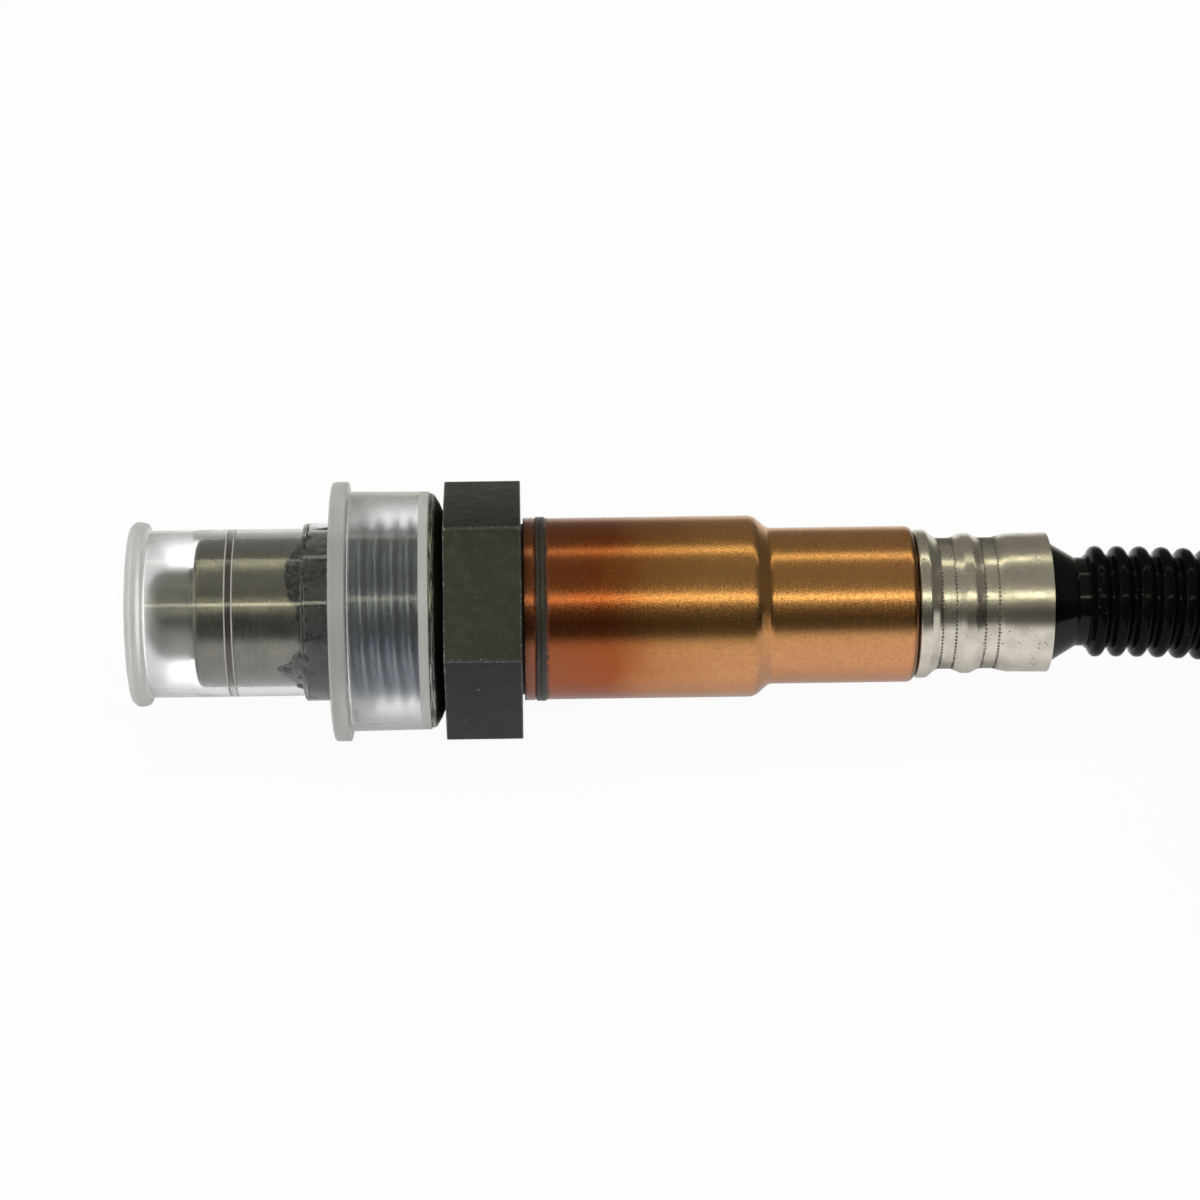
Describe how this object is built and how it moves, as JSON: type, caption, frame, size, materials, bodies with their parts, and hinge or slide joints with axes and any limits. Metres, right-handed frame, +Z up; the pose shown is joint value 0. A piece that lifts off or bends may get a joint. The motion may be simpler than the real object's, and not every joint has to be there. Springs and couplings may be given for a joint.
{
  "type": "oxygen sensor",
  "caption": "Wideband exhaust oxygen sensor with a threaded hexagon body, tinted steel shell, clear transit cap, corrugated lead and sealed plug.",
  "frame": {"origin": "on the sensor's axis, in the plane of the gasket seat on the hexagon", "axes": "+X along the sensor towards its lead, +Z up, square to two flats of the hexagon"},
  "size_m": [0.2412, 0.1396, 0.0252],
  "materials": {
    "blackened_steel": "dark burnished steel, olive black",
    "ring_black": "black folded steel ring",
    "tip_steel": "matt olive grey drawn steel",
    "nose_steel": "matt grey drawn steel",
    "clear_cap": "translucent soft plastic, milky where thick",
    "grease": "dark grey anti-seize paste",
    "ceramic_white": "white technical ceramic",
    "talc": "pressed talc",
    "bright_steel": "plain steel",
    "zirconia": "grey zirconia",
    "shell_bronze": "satin steel, heat tinted copper to golden bronze",
    "rubber_black": "black fluoro rubber",
    "nickel_sleeve": "nickelled, satin, dented at the crimps",
    "conduit_black": "glossy black corrugated plastic",
    "plug_black": "black moulded plastic",
    "lock_grey": "grey moulded plastic",
    "tinned": "tinned bronze",
    "seal_red": "brick red silicone",
    "wire_sheath": "plain insulated wire"
  },
  "bodies": {
    "root": {"conduit": "conduit_black", "conduit_clip": "bright_steel", "connector_housing": "plug_black", "connector_pins": "tinned", "connector_wires": "wire_sheath", "contact_holder_lower": "ceramic_white", "contact_holder_upper": "ceramic_white", "crimp_sleeve": "nickel_sleeve", "grommet": "rubber_black", "hex_body": "blackened_steel", "holder_spring": "bright_steel", "inner_protection_tube": "nose_steel", "lower_ceramic": "ceramic_white", "outer_protection_tube": "tip_steel", "protective_cap": "clear_cap", "rear_cover": "plug_black", "retaining_ring": "bright_steel", "sealing_ring": "ring_black", "sensing_element": "zirconia", "shell_sleeve": "shell_bronze", "talc_ring": "talc", "terminal_lock": "lock_grey", "terminal_strip_1": "tinned", "terminal_strip_2": "tinned", "terminal_strip_3": "tinned", "terminal_strip_4": "tinned", "terminal_strip_5": "tinned", "thread_compound": "grease", "trim_resistor": "ceramic_white", "upper_ceramic": "ceramic_white", "wire_1": "wire_sheath", "wire_2": "wire_sheath", "wire_3": "wire_sheath", "wire_4": "wire_sheath", "wire_5": "wire_sheath", "wire_seal": "seal_red"}
  },
  "joints": []
}
